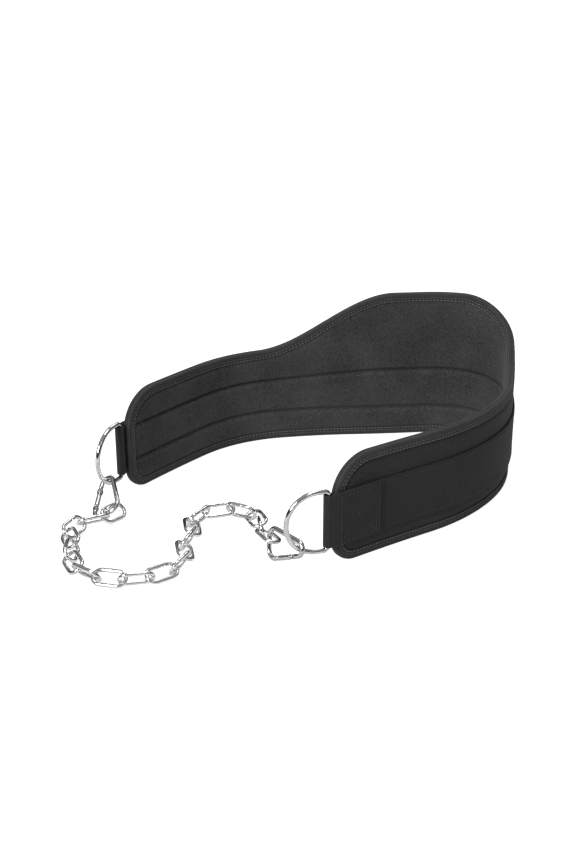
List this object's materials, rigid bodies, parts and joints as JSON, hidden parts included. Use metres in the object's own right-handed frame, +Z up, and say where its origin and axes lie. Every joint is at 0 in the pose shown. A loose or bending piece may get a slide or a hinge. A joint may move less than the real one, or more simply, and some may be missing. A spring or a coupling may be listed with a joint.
{
  "type": "dip belt",
  "caption": "Padded waist belt with a raised back that stands on its edge, with a D-ring and snap hook at each end and a steel chain lying between them.",
  "frame": {"origin": "centre of the whole part in plan, on the surface that the belt's lower edge stands on", "axes": "+Z up; -Y towards the belt's open side, where the chain lies; +X across the waist"},
  "size_m": [0.2942, 0.502, 0.158],
  "materials": {
    "pad": "dark charcoal knit over foam",
    "binding": "dark folded tape with double stitching",
    "webbing": "dark ribbed webbing",
    "ring": "bright plated wire",
    "hook": "plated steel wire",
    "chain": "bright zinc plated links"
  },
  "bodies": {
    "belt": {"belt_pad": "pad", "edge_binding": "binding", "webbing_strap": "webbing", "d_ring_left": "ring", "d_ring_right": "ring", "hook_left": "hook", "hook_right": "hook", "chain_link_01": "chain", "chain_link_02": "chain", "chain_link_03": "chain", "chain_link_04": "chain", "chain_link_05": "chain", "chain_link_06": "chain", "chain_link_07": "chain", "chain_link_08": "chain", "chain_link_09": "chain", "chain_link_10": "chain", "chain_link_11": "chain", "chain_link_12": "chain", "chain_link_13": "chain", "chain_link_14": "chain", "chain_link_15": "chain", "chain_link_16": "chain", "chain_link_17": "chain", "chain_link_18": "chain", "chain_link_19": "chain", "chain_link_20": "chain"},
    "gate_left": {"hook_gate_left": "hook"},
    "gate_right": {"hook_gate_right": "hook"}
  },
  "joints": [
    {"name": "gate_left_pivot", "type": "hinge", "parent": "belt", "child": "gate_left", "pos_m": [-0.1194, -0.14449, 0.01473], "axis": [-0.1307, -0.6035, 0.7866], "range_deg": [0, 25], "stiffness_Nm_per_rad": 0.02, "springref_deg": -17.19},
    {"name": "gate_right_pivot", "type": "hinge", "parent": "belt", "child": "gate_right", "pos_m": [0.09978, -0.10477, 0.01335], "axis": [0.1419, 0.9605, -0.2393], "range_deg": [0, 25], "stiffness_Nm_per_rad": 0.02, "springref_deg": -17.19}
  ]
}
